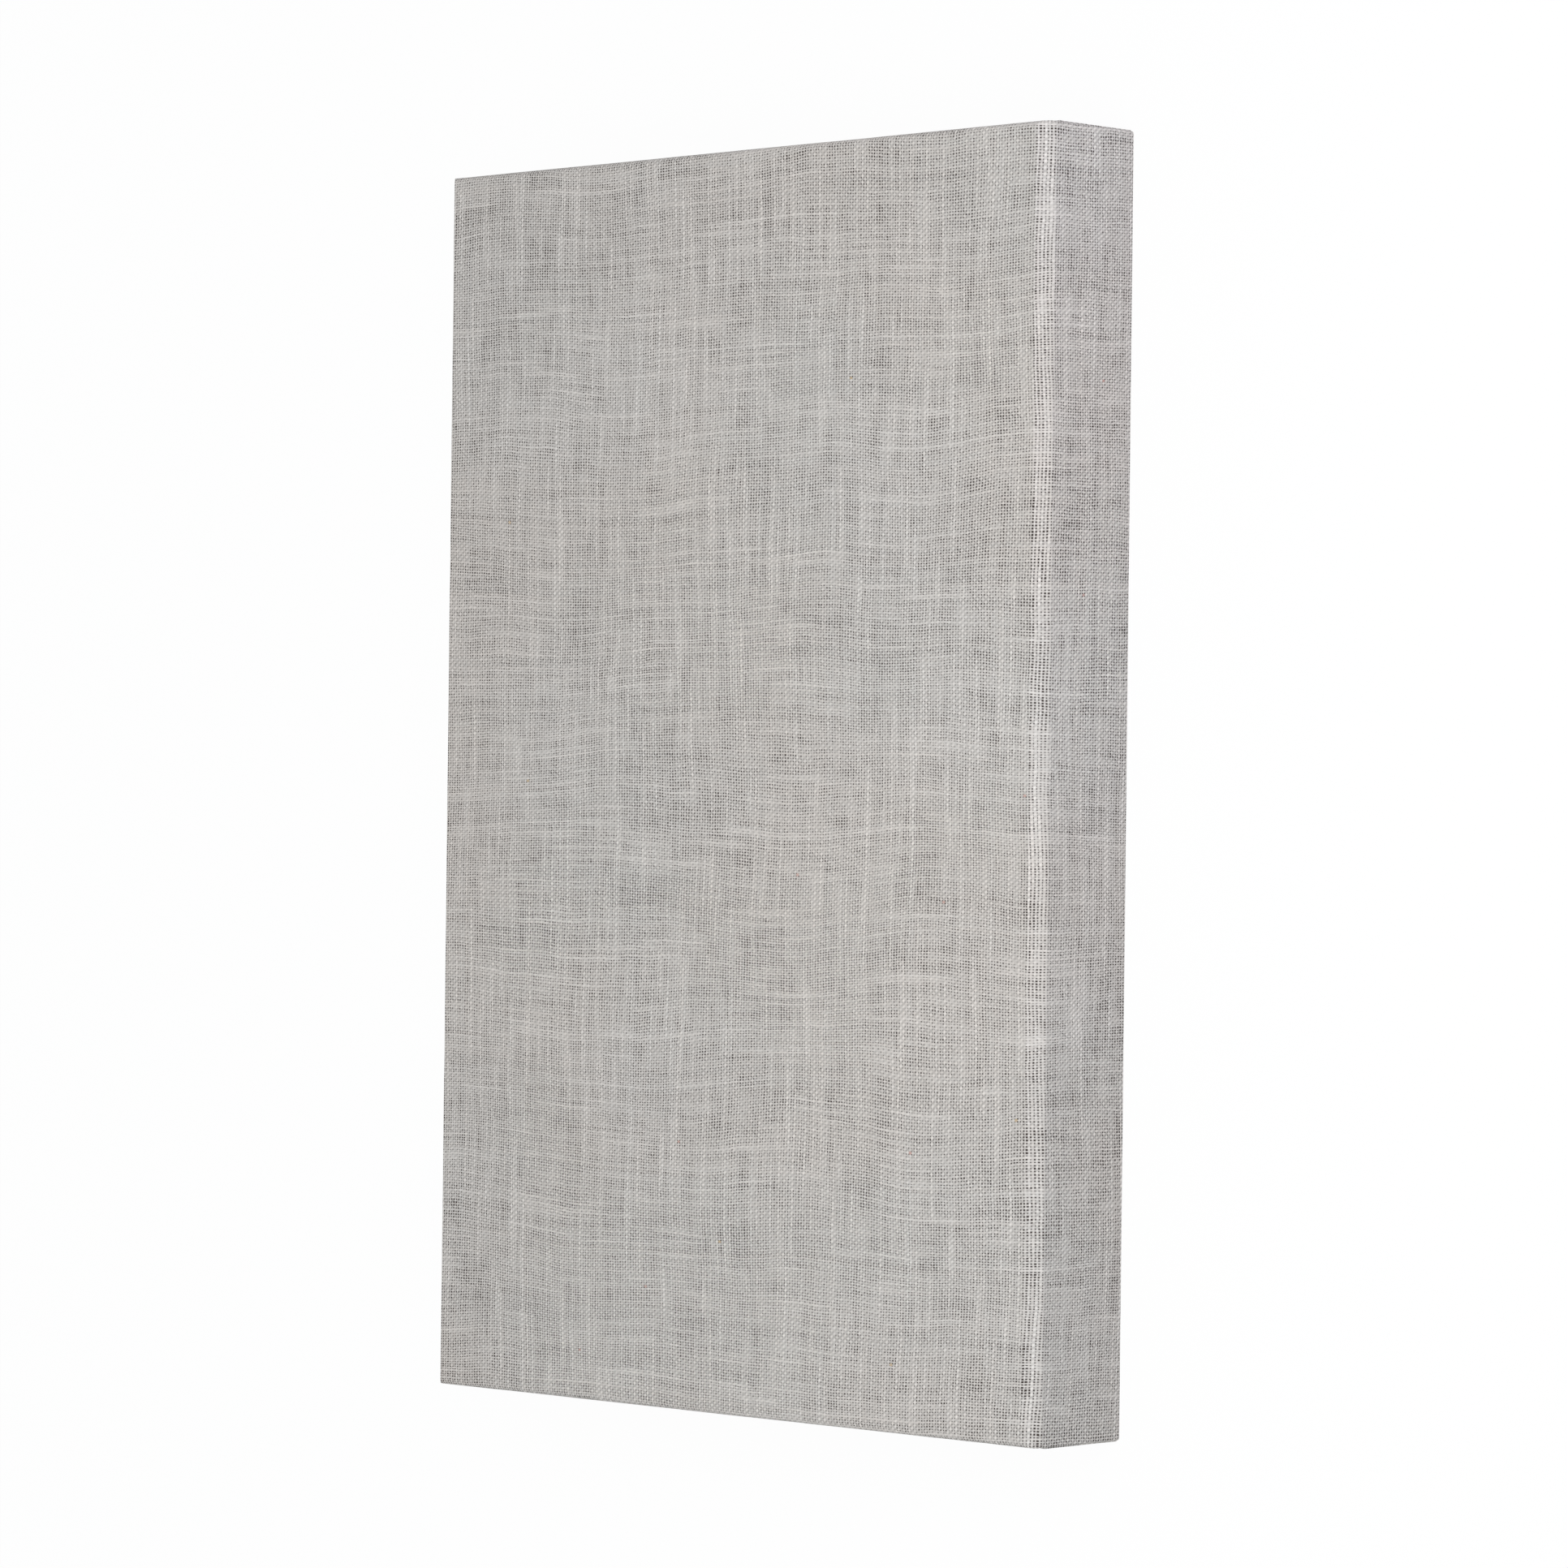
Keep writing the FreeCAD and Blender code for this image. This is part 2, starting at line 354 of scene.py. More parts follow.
@dataclass(frozen=True)
class OpenLinenWeave:
    """Open plain weave of slubby linen yarn, undyed: matt, pale, and dark in its holes.

    The eye sees a grid of small dark holes first, which open and close in patches and in
    dashes along a row. Between them run pale streaks, where a slub makes a yarn thicker for a
    few centimetres. The threads wander and bow a little, as hand-stretched cloth does. Over
    the long edges of the face the cloth is taut, and its holes are larger. Its yarn is painted
    paler there, a painted highlight that is strongest at the bevel's upper border. Each crossing
    has a painted highlight on its crown and on one slant, and painted shade where a thread dives.
    """

    name: str = "open_linen_weave"
    # The warp runs along the long sides and the weft across them. The spacings are the real
    # ones, 11.6 and 15.5 threads to the inch
    warp: Yarn = Yarn(spacing=2.19, half_width=0.33, tone_spread=0.12, slub=Streak(120.0, 3.0),
                      slub_level=0.55, gap=Streak(26.0, 53.0), seed=3.0)
    weft: Yarn = Yarn(spacing=1.64, half_width=0.32, tone_spread=0.18, slub=Streak(120.0, 8.0),
                      slub_level=0.57, gap=Streak(32.0, 58.0), seed=8.0)
    # The real threads are finer than a pixel of the whole panel's render, so all of them are
    # drawn this much coarser, and the grid of holes still shows
    coarser: float = 1.2
    softness: float = 0.10
    # How far the threads leave their straight lines, across and along the cloth: in long
    # bows, in short waves and in jitter from thread to thread
    bends: tuple[tuple[Cloud, tuple[float, float]], ...] = (
        (Cloud(size=230.0, seed=1.3), (11.0, 26.0)),
        (Cloud(size=38.0, seed=4.1), (1.4, 2.2)),
        (Cloud(size=7.0, seed=7.7), (0.6, 0.5)))
    # How much the holes differ, as shares of the spacing: one from the next, by patches, by
    # broad areas, and by dashes along either set of threads
    hole_spread: float = 0.11
    hole_clouds: tuple[Cloud, ...] = (
        Cloud(size=34.0, seed=11.0, spread=0.11, detail=2.0),
        Cloud(size=170.0, seed=17.0, spread=0.06),
        Cloud(size=7.0, seed=21.0, spread=0.15, stretch=(0.16, 1.0, 1.0)),
        Cloud(size=7.0, seed=29.0, spread=0.15, stretch=(1.0, 0.16, 1.0)))
    # How much wider the holes are pulled over a bevel, in its crease and on a long side, and
    # how much more they differ there
    edge_pull: EdgePull = EdgePull()
    taut_opening: float = 0.025
    crease_opening: float = 0.050
    side_opening: float = 0.013
    side_spread: float = 0.15
    # A thread's half width drifts, swells in a slub and gives way to a gap
    thread_drift: float = 0.20
    slub_rise: float = 0.12
    slub_swell: float = 0.08
    gap_drift: float = 0.22
    # Tones are factors on the yarn's colour
    yarn_tone: float = 0.975
    slub_tone: float = 0.11
    # Painted highlight on each crossing's crown and painted shade at its edges, where a thread dives
    # under
    crown_highlight_tone: float = 0.95
    crown_highlight_spread: float = 0.18
    crossing_spread: float = 0.12
    # Painted highlight over a bevel, as a factor on the yarn's colour
    bevel_highlight_tone: float = 0.065
    # Each crossing is painted paler on one slant, a painted highlight as if lit from one side, more
    # so on the long sides and less over a bevel
    slant_highlight_contrast: float = 0.135
    side_slant_highlight: float = 0.45
    taut_slant_highlight: float = -0.5
    # The yarn is warm or cool by broad areas and by single threads
    warm_yarn: str = "d1ccc7"
    cool_yarn: str = "cfcdca"
    hue_areas: Cloud = Cloud(size=230.0, seed=5.0)
    hue_levels: tuple[float, float] = (0.3, 0.7)
    area_hue: float = 0.5
    thread_hue: float = 0.25
    hue_seeds: tuple[float, float] = (31.0, 37.0)
    hole_colour: str = "3d3532"
    # A few crossings have a stray coloured fibre: the levels say how rare
    pink_fleck: str = "c07a68"
    ochre_fleck: str = "c9a45c"
    fleck_level: float = 0.99988
    ochre_level: float = 0.99995
    fleck_strength: float = 0.45
    fleck_shift: tuple[float, float] = (0.37, 0.61)
    # The relief of the threads: how much they bulge, and how much the upper one is lifted
    overlap: float = 0.2
    bulge: float = 0.5
    lift: float = 0.3
    relief: float = 0.4
    relief_strength: float = 0.4
    roughness: float = 0.92
    sheen: float = 0.10
    sheen_roughness: float = 0.5
    specular: float = 0.25

    def build(self, edge_centre: float, edge_width: float) -> bpy.types.Material:
        """Make the material.

        Args:
            edge_centre: distance across the cloth from its middle to a long edge's bevel.
            edge_width: length of cloth over that bevel.

        Returns:
            The cloth's material.
        """
        material = bare_material(self.name)
        tree = material.node_tree
        lay = add_node(tree, "UVMap", uv_map=UV_NAME).outputs[0]
        place = add_node(tree, "VectorMath", {0: lay, 1: (1 / MM, 1 / MM, 0)},
                         operation="MULTIPLY").outputs[0]

        across, along = self._bent(place)
        pull = self.edge_pull.find(place, edge_centre, edge_width)
        columns = across / (self.warp.spacing * self.coarser)
        rows = along / (self.weft.spacing * self.coarser)
        openness = self._openness(place, columns, rows, pull)
        warp = self._threads(self.warp, columns, along, openness)
        weft = self._threads(self.weft, rows, across, openness)

        over = (columns * math.pi).worked("SINE") * (rows * math.pi).worked("SINE")
        weft_on_top = weft.mask * over.fade(-self.overlap, self.overlap).rest()
        warp_share = warp.mask * weft_on_top.rest()
        tone = weft.tone + (warp.tone - weft.tone) * warp_share
        # The threads' own tones times the painted highlights and shade of the crossings
        shade = tone * self._crossing_tone(columns, rows, over, pull)
        cover = warp.mask.worked("MAXIMUM", weft.mask)

        dyed = add_node(tree, "Mix", {"Factor": self._hue(place, columns, rows),
                                      6: linear(self.warm_yarn), 7: linear(self.cool_yarn)},
                        data_type="RGBA").outputs[2]
        yarn = add_node(tree, "VectorMath", {0: dyed, "Scale": shade}, operation="SCALE").outputs[0]
        fleck, ochre = self._flecks(columns, rows)
        stray = add_node(tree, "Mix", {"Factor": ochre, 6: linear(self.pink_fleck),
                                       7: linear(self.ochre_fleck)}, data_type="RGBA").outputs[2]
        flecked = add_node(tree, "Mix", {"Factor": fleck, 6: yarn, 7: stray},
                           data_type="RGBA").outputs[2]
        colour = add_node(tree, "Mix", {"Factor": cover, 6: linear(self.hole_colour), 7: flecked},
                          data_type="RGBA").outputs[2]
        bump = add_node(tree, "Bump", {"Height": self._height(warp, weft, over),
                                       "Strength": self.relief_strength,
                                       "Distance": self.relief * MM})
        shader = add_node(tree, "BsdfPrincipled", {
            "Base Color": colour, "Roughness": self.roughness, "Normal": bump.outputs[0],
            "Sheen Weight": self.sheen, "Sheen Roughness": self.sheen_roughness,
            "Specular IOR Level": self.specular})
        add_node(tree, "OutputMaterial", {"Surface": shader.outputs[0]})
        return material

    def _bent(self, place: bpy.types.NodeSocket) -> tuple[Level, Level]:
        """Move the threads off their straight lines.

        Args:
            place: place on the cloth, in millimetres.

        Returns:
            Places across and along the cloth, in millimetres.
        """
        moved = place
        for cloud, reach in self.bends:
            shift = add_node(place.id_data, "VectorMath", {
                0: cloud.node(place).outputs["Color"], 1: (0.5, 0.5, 0.5)},
                operation="SUBTRACT").outputs[0]
            moved = add_node(place.id_data, "VectorMath", {0: shift, 1: (*reach, 0), 2: moved},
                             operation="MULTIPLY_ADD").outputs[0]
        parts = add_node(place.id_data, "SeparateXYZ", {0: moved})
        return Level(parts.outputs[0]), Level(parts.outputs[1])

    def _openness(self, place: bpy.types.NodeSocket, columns: Level, rows: Level,
                  pull: Pull) -> Level:
        """Find how open the cloth is.

        Args:
            place: place on the cloth, in millimetres.
            columns: place across the warp, in threads.
            rows: place across the weft, in threads.
            pull: where the cloth is pulled.

        Returns:
            The share of the spacing that each side of a thread loses, or gains below 0.
        """
        total = round(columns).dice(round(rows)).about(self.hole_spread)
        for cloud in self.hole_clouds:
            total += cloud.level(place)
        livelier = total * pull.side.scaled(self.side_spread, 1.0)
        opened = pull.taut * self.taut_opening + pull.crease * self.crease_opening
        return livelier + (opened + pull.side * self.side_opening)

    def _threads(self, yarn: Yarn, count: Level, along: Level, openness: Level) -> Threads:
        """Lay out one set of threads.

        Args:
            yarn: the set of threads.
            count: place across the threads, in threads.
            along: place along the threads, in millimetres.
            openness: share of the spacing that is taken off each side of a thread.

        Returns:
            The threads.
        """
        number = math.floor(count)
        off = abs(count.worked("FRACT") - 0.5)
        slub = yarn.slub.level(along, number)
        thick = slub.fade(yarn.slub_level, yarn.slub_level + self.slub_rise)
        gap = yarn.gap.level(along, round(count))
        half = slub.about(self.thread_drift, yarn.half_width) + thick * self.slub_swell
        half = half + gap.about(-self.gap_drift) - openness
        tone = number.dice(yarn.seed).about(yarn.tone_spread, self.yarn_tone)
        return Threads(mask=off.fade(half + self.softness, half - self.softness),
                       tone=tone + thick * self.slub_tone,
                       profile=(off / half).worked("POWER", 2.0).rest())

    def _crossing_tone(self, columns: Level, rows: Level, over: Level, pull: Pull) -> Level:
        """Find the tone that each crossing adds: a painted highlight on its crown and painted shade
        at its edges, a painted highlight on one slant, its own random tone, and the painted highlight
        over a bevel.

        Args:
            columns: place across the warp, in threads.
            rows: place across the weft, in threads.
            over: 1 on a crown where the warp is on top, and -1 where the weft is.
            pull: where the cloth is pulled.

        Returns:
            A factor on the yarn's colour.
        """
        # Painted highlight on the crown and painted shade where the thread dives under
        crown = abs(over).about(self.crown_highlight_spread, self.crown_highlight_tone)
        # Painted highlight on one slant of each crossing, stronger on the long side and weaker over a
        # bevel
        strength = pull.side.scaled(self.side_slant_highlight, 1.0) + pull.taut * self.taut_slant_highlight
        slant = ((columns - rows) * math.pi).worked("COSINE") * strength
        own = math.floor(columns).dice(math.floor(rows)).about(self.crossing_spread, 1.0)
        tone = crown * slant.scaled(self.slant_highlight_contrast, 1.0) * own
        # Painted highlight over the bevel
        return tone * pull.pale.scaled(self.bevel_highlight_tone, 1.0)

    def _hue(self, place: bpy.types.NodeSocket, columns: Level, rows: Level) -> Level:
        """Find how cool the yarn is, by broad areas and by thread.

        Args:
            place: place on the cloth, in millimetres.
            columns: place across the warp, in threads.
            rows: place across the weft, in threads.

        Returns:
            A level of 0 where the yarn is warm and 1 where it is cool.
        """
        broad = Level(self.hue_areas.node(place).outputs["Fac"]).fade(*self.hue_levels)
        own = math.floor(columns).dice(self.hue_seeds[0]) + math.floor(rows).dice(self.hue_seeds[1])
        return broad * self.area_hue + own * self.thread_hue

    def _flecks(self, columns: Level, rows: Level) -> tuple[Level, Level]:
        """Scatter a few stray coloured fibres, each the size of a crossing.

        Args:
            columns: place across the warp, in threads.
            rows: place across the weft, in threads.

        Returns:
            How strong the stray fibre is, and a level of 1 where it is ochre.
        """
        crossing = [math.floor(count) + shift
                    for count, shift in zip((columns, rows), self.fleck_shift)]
        own = crossing[0].dice(crossing[1])
        return (own.worked("GREATER_THAN", self.fleck_level) * self.fleck_strength,
                own.worked("GREATER_THAN", self.ochre_level))

    def _height(self, warp: Threads, weft: Threads, over: Level) -> Level:
        """Find the height of the upper thread.

        Args:
            warp: the threads along the long sides.
            weft: the threads across them.
            over: 1 on a crown where the warp is on top, and -1 where the weft is.

        Returns:
            A level from 0 in a hole to about 1.
        """
        upper = (warp.profile * self.bulge + over.scaled(self.lift, self.lift)) * warp.mask
        lower = (weft.profile * self.bulge + over.scaled(-self.lift, self.lift)) * weft.mask
        return upper.worked("MAXIMUM", lower)


@dataclass(frozen=True)
class FeltedMineralBoard:
    """Rigid board of felted mineral fibre: dark and dull, with paler tufts lying every way.

    The real fibres are far finer than a pixel, so they are drawn as tufts of a millimetre.
    """

    name: str = "felted_mineral_fibre"
    ground_colour: str = "2b2725"
    tuft_colour: str = "7d746c"
    tuft_length: float = 14.0
    tuft_width: float = 1.1
    tuft_turns: tuple[float, ...] = (12.0, 71.0, 133.0)
    tuft_levels: tuple[float, float] = (0.48, 0.70)
    tuft_detail: float = 2.0
    clump_size: float = 22.0
    clump_levels: tuple[float, float] = (0.25, 0.7)
    clump_detail: float = 4.0
    relief: float = 0.8
    relief_strength: float = 0.6
    roughness: float = 0.95

    def build(self) -> bpy.types.Material:
        """Make the material.

        Returns:
            The board's material.
        """
        material = bare_material(self.name)
        tree = material.node_tree
        place = add_node(tree, "TexCoord").outputs["Object"]
        tufts = self._tufts(place, self.tuft_turns[0])
        for turn in self.tuft_turns[1:]:
            tufts = tufts.worked("MAXIMUM", self._tufts(place, turn))
        clump = add_node(tree, "TexNoise", {"Vector": place, "Scale": 1 / (self.clump_size * MM),
                                            "Detail": self.clump_detail}).outputs["Fac"]
        share = tufts * Level(clump).fade(*self.clump_levels)
        colour = add_node(tree, "Mix", {"Factor": share, 6: linear(self.ground_colour),
                                        7: linear(self.tuft_colour)}, data_type="RGBA").outputs[2]
        bump = add_node(tree, "Bump", {"Height": tufts, "Strength": self.relief_strength,
                                       "Distance": self.relief * MM})
        shader = add_node(tree, "BsdfPrincipled", {"Base Color": colour, "Roughness": self.roughness,
                                                   "Normal": bump.outputs[0]})
        add_node(tree, "OutputMaterial", {"Surface": shader.outputs[0]})
        return material

    def _tufts(self, place: bpy.types.NodeSocket, turn: float) -> Level:
        """Lay out the tufts that lie one way.

        Args:
            place: place in the board, in metres.
            turn: the way that they lie, in degrees from the short sides.

        Returns:
            A level of 1 on a tuft and 0 between them.
        """
        size = (self.tuft_length * MM, self.tuft_width * MM, self.tuft_width * MM)
        lay = add_node(place.id_data, "Mapping", {0: place, "Rotation": (0, 0, math.radians(turn)),
                                                  "Scale": size}, vector_type="TEXTURE").outputs[0]
        fibres = add_node(place.id_data, "TexNoise", {"Vector": lay, "Scale": 1.0,
                                                      "Detail": self.tuft_detail})
        return Level(fibres.outputs["Fac"]).fade(*self.tuft_levels)


@dataclass(frozen=True)
class EdgeSection:
    """Section of the cloth over one edge of the face, from the flat face to the side.

    It is a line of points: their distance from the panel's middle, how far they lie below the
    face, and the length of cloth from the middle to them.
    """

    places: np.ndarray
    drops: np.ndarray
    runs: np.ndarray

    @classmethod
    def through(cls, places: np.ndarray, drops: np.ndarray) -> "EdgeSection":
        """Make a section through points, and measure the cloth along it."""
        steps = np.hypot(np.diff(places), np.diff(drops))
        return cls(places, drops, places[0] + np.concatenate([[0.0], np.cumsum(steps)]))

    @classmethod
    def rounded(cls, half: float, radius: float, steps: int = 6) -> "EdgeSection":
        """Make a plain rounding, half being the distance from the panel's middle to its side."""
        turns = np.linspace(0, math.pi / 2, steps + 1)
        return cls.through(half - radius + radius * np.sin(turns), radius - radius * np.cos(turns))

    @classmethod
    def bevelled(cls, half: float, leg: float, radius: float, steps: int = 4) -> "EdgeSection":
        """Make a bevel of 45 degrees with rounded borders.

        Args:
            half: distance from the panel's middle to its side.
            leg: the bevel's leg.
            radius: radius of the rounded borders.
            steps: how many straight pieces each border has, and the flat of the bevel too.

        Returns:
            The section.
        """
        past_border = radius * math.tan(math.pi / 8)
        upper = np.linspace(0, math.pi / 4, steps + 1)
        lower = np.linspace(math.pi / 4, math.pi / 2, steps + 1)
        start, end = half - leg - past_border, leg + past_border
        upper_arc = (start + radius * np.sin(upper), radius - radius * np.cos(upper))
        lower_arc = (half - radius + radius * np.sin(lower), end - radius * np.cos(lower))
        flat = [np.linspace(first[-1], second[0], steps + 1)[1:-1]
                for first, second in zip(upper_arc, lower_arc)]
        points = [np.concatenate(parts) for parts in zip(upper_arc, flat, lower_arc)]
        return cls.through(*points)

    def drop(self, place: float) -> float:
        """Return how far the cloth lies below the face at a place across the panel."""
        return float(np.interp(abs(place), self.places, self.drops))

    def run(self, place: float) -> float:
        """Measure the cloth from the middle to a place across the panel.

        Args:
            place: signed distance from the middle.

        Returns:
            The length of cloth, with the same sign.
        """
        if abs(place) <= self.places[0]:
            return place
        return math.copysign(float(np.interp(abs(place), self.places, self.runs)), place)


@dataclass(frozen=True)
class Ring:
    """One ring of vertices below the face's border, in millimetres.

    On the sides it only has its share of the way down. Past them it has a height above the
    floor, a distance in from the outline, and the length of cloth past the side's lower end.
    """

    share: float | None = None
    height: float = 0.0
    inset: float = 0.0
    past_side: float = 0.0

    def under(self, top: float, low: float) -> tuple[float, float]:
        """Find where the ring lies under a vertex of the border.

        Args:
            top: the vertex's height.
            low: height of the side's lower end.

        Returns:
            The ring's height there, and the length of cloth down to it.
        """
        if self.share is None:
            return self.height, top - low + self.past_side
        height = top + (low - top) * self.share
        return height, top - height


@dataclass
class FabricCover:
    """The one sheet of cloth round the board, from its face to the strips on its back."""

    width: float
    length: float
    depth: float
    long_edge_bevel: float = 9.5
    bevel_round: float = 2.0
    short_edge_radius: float = 5.0
    corner_radius: float = 1.5
    back_radius: float = 1.5
    strip_width: float = 50.0
    mitre_gap: float = 1.2
    mitre_end: float = 8.0
    fold_inset: float = 2.0
    fold_mouth: float = 1.2
    fold_rise: float = 0.6
    mouth_depth: float = 0.9
    fold_fade: float = 4.0
    fold_roll: float = 0.9
    ridge_width: float = 5.0
    thickness: float = 0.95
    # How the mesh is laid out. The edges of the face meet in a mitre, sharper the higher
    # its power, and a fold has its own lines beside its edge and beside its mouth
    spacing: float = 6.0
    least_gap: float = 0.12
    weld: float = 0.004
    same_place: float = 0.000001
    mitre_power: float = 8.0
    mitre_step: float = 0.01
    fold_lines: tuple[float, ...] = (-3.0, -0.9, -0.3, 0.0, 0.25)
    mouth_lines: tuple[float, ...] = (-0.25, 0.0, 0.3)
    side_steps: int = 20
    turn_steps: int = 4
    strip_steps: int = 8
    smooth_angle: float = 50.0
    # The surface wavers above this height: width of a wave, and how far it reaches
    waver_floor: float = 3.0
    broad_waver: tuple[float, float] = (70.0, 0.16)
    fine_waver: tuple[float, float] = (19.0, 0.07)
    finish: OpenLinenWeave = field(default_factory=OpenLinenWeave)

    def __post_init__(self) -> None:
        """Work out the outline, the edges of the face and the lines of the mesh."""
        self.half = (self.width / 2, self.length / 2)
        self.straight = [half - self.corner_radius for half in self.half]
        self.fold_edge = self.straight[0] - self.fold_inset
        self.edges = (EdgeSection.bevelled(self.half[0], self.long_edge_bevel, self.bevel_round),
                      EdgeSection.rounded(self.half[1], self.short_edge_radius))
        self.columns = self._lines(0)
        self.rows = self._lines(1)

    def _lines(self, axis: int) -> np.ndarray:
        """Place the mesh lines across one axis, symmetric about the middle.

        Args:
            axis: 0 for lines across the short sides' direction, 1 for the other.

        Returns:
            Ascending places in millimetres.
        """
        section = self.edges[axis].places
        special = [self.straight[axis]]
        if axis == 0:
            mouth = self.fold_edge + self.fold_mouth
            special += [self.fold_edge + off for off in self.fold_lines]
            special += [mouth + off for off in self.mouth_lines]
        count = int(section[0] / self.spacing)
        inner = np.linspace(0, section[0], count + 1)[:-1]
        outer = np.concatenate([inner, section, special])
        outer = np.unique(np.round(outer, 4))
        keep = np.concatenate([[True], np.diff(outer) > self.least_gap])
        keep[-1] = True
        outer = outer[keep]
        return np.concatenate([-outer[:0:-1], outer])

    def _plan(self, x: float, y: float) -> tuple[float, float]:
        """Pull a place on the face inside the rounded corner of the outline.

        Args:
            x: place across the panel.
            y: place along it.

        Returns:
            The place after the pull.
        """
        past = (abs(x) - self.straight[0], abs(y) - self.straight[1])
        if min(past) <= 0:
            return x, y
        scale = max(past) / math.hypot(*past)
        return (math.copysign(self.straight[0] + past[0] * scale, x),
                math.copysign(self.straight[1] + past[1] * scale, y))

    def _border(self) -> list[tuple[int, int]]:
        """List the vertices of the face's border, once round.

        Returns:
            Their column and row numbers.
        """
        last_column, last_row = len(self.columns) - 1, len(self.rows) - 1
        near = [(column, 0) for column in range(last_column)]
        right = [(last_column, row) for row in range(last_row)]
        far = [(column, last_row) for column in range(last_column, 0, -1)]
        left = [(0, row) for row in range(last_row, 0, -1)]
        return near + right + far + left

    def _fold_offset(self, x: float, z: float) -> float:
        """Return how far the folded corner stands out from the short side at a place.

        Args:
            x: place along the short side.
            z: height above the floor.

        Returns:
            Millimetres outwards, or inwards where negative.
        """
        top = self.depth - self.long_edge_bevel - self.bevel_round
        fade = np.clip((top - z) / self.fold_fade, 0, 1) * np.clip(z / self.back_radius, 0, 1)
        inside = self.fold_edge - abs(x)
        if inside < -self.fold_mouth:
            return 0.0
        if inside <= 0:
            return -self.mouth_depth * fade
        ridge = np.clip((top - z - inside) / self.ridge_width + 0.5, 0, 1)
        rise = self.fold_rise * ridge * ridge * (3 - 2 * ridge)
        roll = math.sqrt(max(0.0, 1 - (1 - min(inside / self.fold_roll, 1.0)) ** 2))
        return (rise - (1 - roll) * self.mouth_depth) * fade

    def _inset_place(self, column: int, row: int, inset: float) -> tuple[float, float]:
        """Move a border vertex in from the outline, parallel to its side.

        Args:
            column: the vertex's column number.
            row: the vertex's row number.
            inset: distance from the outline.

        Returns:
            The place seen from the face.
        """
        x, y = self.columns[column], self.rows[row]
        gap = self.mitre_gap / math.sqrt(2) if inset >= self.mitre_end else 0.0
        core = [flat - max(0.0, inset - self.corner_radius) - gap for flat in self.straight]
        radius = max(self.corner_radius - inset, 0.0)
        if abs(x) <= self.straight[0]:
            rim = core[1] + radius + gap
            return x * core[0] / self.straight[0], math.copysign(rim, y)
        if abs(y) <= self.straight[1]:
            rim = core[0] + radius + gap
            return math.copysign(rim, x), y * core[1] / self.straight[1]
        past = (abs(x) - self.straight[0], abs(y) - self.straight[1])
        long = math.hypot(*past)
        return (math.copysign(core[0] + radius * past[0] / long, x),
                math.copysign(core[1] + radius * past[1] / long, y))

    def _ring_place(self, corner: tuple[int, int], inset: float, height: float) -> Vector:
        """Place a vertex of a ring under a border vertex.

        Args:
            corner: the border vertex's column and row number.
            inset: the ring's distance in from the outline.
            height: height above the floor.

        Returns:
            The place, in metres.
        """
        column, row = corner
        x, y = self._inset_place(column, row, inset)
        if row in (0, len(self.rows) - 1) and abs(self.columns[column]) < self.straight[0]:
            y += math.copysign(self._fold_offset(self.columns[column], height), y)
        return Vector((x, y, height)) * MM

    def _rings(self) -> list[Ring]:
        """List the rings below the face's border.

        Returns:
            The rings, down the sides, round the back's edges and along the glued strips.
        """
        down = [Ring(share=share) for share in np.linspace(0, 1, self.side_steps + 1)[1:]]
        around = [Ring(height=self.back_radius * (1 - math.sin(turn)),
                       inset=self.back_radius * (1 - math.cos(turn)),
                       past_side=self.back_radius * turn)
                  for turn in np.linspace(0, math.pi / 2, self.turn_steps + 1)[1:]]
        insets = np.linspace(self.mitre_end, self.strip_width, self.strip_steps + 1)
        insets = np.concatenate([[self.mitre_end - self.mitre_step], insets])
        arc = self.back_radius * math.pi / 2
        glued = [Ring(inset=inset, past_side=arc + inset - self.back_radius) for inset in insets]
        return down + around + glued

    def build(self) -> bpy.types.Object:
        """Build the wrapped cloth.

        Returns:
            The cloth's object.
        """
        mesh = bpy.data.meshes.new("fabric_wrap")
        work = bmesh.new()
        lay = work.loops.layers.uv.new(UV_NAME)
        self._build_face(work, lay)
        self._build_sides(work, lay)
        self._join(work)
        self._waver(work)
        work.to_mesh(mesh)
        work.free()
        cloth = bpy.data.objects.new("fabric_wrap", mesh)
        bpy.context.scene.collection.objects.link(cloth)
        self._thicken(cloth)
        return cloth

    def _build_face(self, work: bmesh.types.BMesh, lay: bmesh.types.BMLayerItem) -> None:
        """Add the face and its bevelled and rounded edges as a grid.

        Args:
            work: the mesh that is being built.
            lay: the layer of the cloth's own coordinates.
        """
        self.grid = {}
        for column, x in enumerate(self.columns):
            for row, y in enumerate(self.rows):
                drops = (self.edges[0].drop(x), self.edges[1].drop(y))
                drop = sum(part ** self.mitre_power for part in drops) ** (1 / self.mitre_power)
                flat = self._plan(x, y)
                place = Vector((*flat, self.depth - drop)) * MM
                self.grid[column, row] = work.verts.new(place)
        runs = ([self.edges[0].run(x) * MM for x in self.columns],
                [self.edges[1].run(y) * MM for y in self.rows])
        for column in range(len(self.columns) - 1):
            for row in range(len(self.rows) - 1):
                corners = [(column, row), (column + 1, row), (column + 1, row + 1), (column, row + 1)]
                face = work.faces.new([self.grid[corner] for corner in corners])
                for loop, corner in zip(face.loops, corners):
                    loop[lay].uv = (runs[0][corner[0]], runs[1][corner[1]])

    def _region(self, first: tuple[int, int], second: tuple[int, int]) -> Region:
        """Tell which stretch of cloth covers the side between two border vertices.

        Args:
            first: column and row number of one.
            second: those of the next one.

        Returns:
            The stretch of cloth.
        """
        middle = abs(self.columns[first[0]] + self.columns[second[0]]) / 2
        if first[1] == second[1] and middle < self.fold_edge:
            return Region.SHORT_SIDE
        return Region.LONG_SIDE

